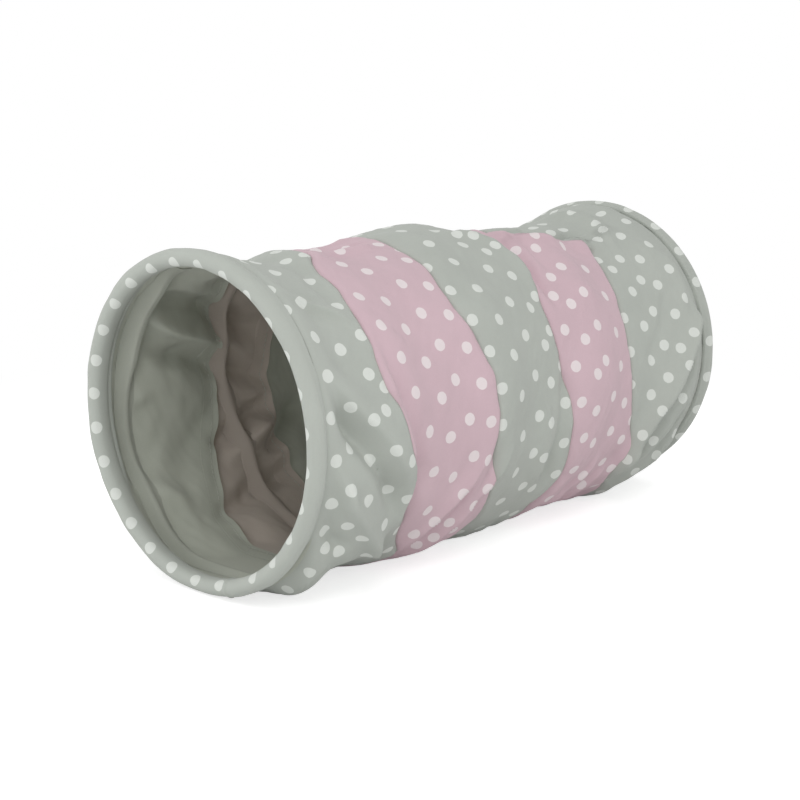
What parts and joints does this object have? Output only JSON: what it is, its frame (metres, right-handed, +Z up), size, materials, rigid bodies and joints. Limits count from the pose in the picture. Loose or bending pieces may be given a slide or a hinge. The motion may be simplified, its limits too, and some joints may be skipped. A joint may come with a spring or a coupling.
{
  "type": "pet play tunnel",
  "caption": "Collapsible cloth tunnel for small pets: sewn bands on a wire spiral, with a padded, hooped hem at each mouth; it squashes flat along its length.",
  "frame": {"origin": "on the ground under the middle of the tunnel, half way between its two mouths", "axes": "+X along the tunnel towards the rear mouth, +Z up; the front mouth faces -X"},
  "size_m": [0.35, 0.1902, 0.1795],
  "materials": {
    "sage_cloth": "matte cotton, printed dots",
    "pink_cloth": "matte cotton, printed dots",
    "binding_tape": "matte woven tape",
    "wadding": "soft fibre wadding",
    "sewing_thread": "twisted thread",
    "spring_steel": "drawn wire",
    "cap_plastic": "moulded"
  },
  "bodies": {
    "rear_end": {"rear_hem_sleeve": "sage_cloth", "rear_hem_padding": "wadding", "rear_hoop": "spring_steel", "rear_hoop_ferrule": "spring_steel", "rear_hem_thread": "sewing_thread", "rear_spiral_cap": "cap_plastic", "spiral_spring": "spring_steel", "spiral_tape": "binding_tape"},
    "front_end": {"front_hem_sleeve": "sage_cloth", "front_hem_padding": "wadding", "front_hoop": "spring_steel", "front_hoop_ferrule": "spring_steel", "front_hem_thread": "sewing_thread", "front_spiral_cap": "cap_plastic"},
    "front_sage_cloth": {"front_sage_band": "sage_cloth", "front_sage_pink_thread": "sewing_thread"},
    "front_pink_cloth": {"front_pink_band": "pink_cloth", "front_pink_sage_thread": "sewing_thread"},
    "middle_sage_cloth": {"middle_sage_band": "sage_cloth", "rear_sage_pink_thread": "sewing_thread"},
    "rear_pink_cloth": {"rear_pink_band": "pink_cloth", "rear_pink_sage_thread": "sewing_thread"},
    "rear_sage_cloth": {"rear_sage_band": "sage_cloth"}
  },
  "joints": [
    {"name": "collapse", "type": "slide", "parent": "rear_end", "child": "front_end", "axis": [1, 0, 0], "range_m": [0, 0.2894], "stiffness_N_per_m": 25, "springref_m": -0.04, "deforming": ["spiral_spring", "spiral_tape"]},
    {"name": "front_sage_follow", "type": "slide", "parent": "rear_end", "child": "front_sage_cloth", "axis": [1, 0, 0], "range_m": [0, 0.2618], "deforming": ["front_sage_band", "front_sage_pink_thread"]},
    {"name": "front_pink_follow", "type": "slide", "parent": "rear_end", "child": "front_pink_cloth", "axis": [1, 0, 0], "range_m": [0, 0.2095], "deforming": ["front_pink_band", "front_pink_sage_thread"]},
    {"name": "middle_sage_follow", "type": "slide", "parent": "rear_end", "child": "middle_sage_cloth", "axis": [1, 0, 0], "range_m": [0, 0.1521], "deforming": ["middle_sage_band", "rear_sage_pink_thread"]},
    {"name": "rear_pink_follow", "type": "slide", "parent": "rear_end", "child": "rear_pink_cloth", "axis": [1, 0, 0], "range_m": [0, 0.0966], "deforming": ["rear_pink_band", "rear_pink_sage_thread"]},
    {"name": "rear_sage_follow", "type": "slide", "parent": "rear_end", "child": "rear_sage_cloth", "axis": [1, 0, 0], "range_m": [0, 0.037], "deforming": ["rear_sage_band"]}
  ],
  "couplings": [
    {"joint": "front_sage_follow", "follows": "collapse", "ratio": 0.9041},
    {"joint": "front_pink_follow", "follows": "collapse", "ratio": 0.7232},
    {"joint": "middle_sage_follow", "follows": "collapse", "ratio": 0.525},
    {"joint": "rear_pink_follow", "follows": "collapse", "ratio": 0.3332},
    {"joint": "rear_sage_follow", "follows": "collapse", "ratio": 0.1273}
  ]
}
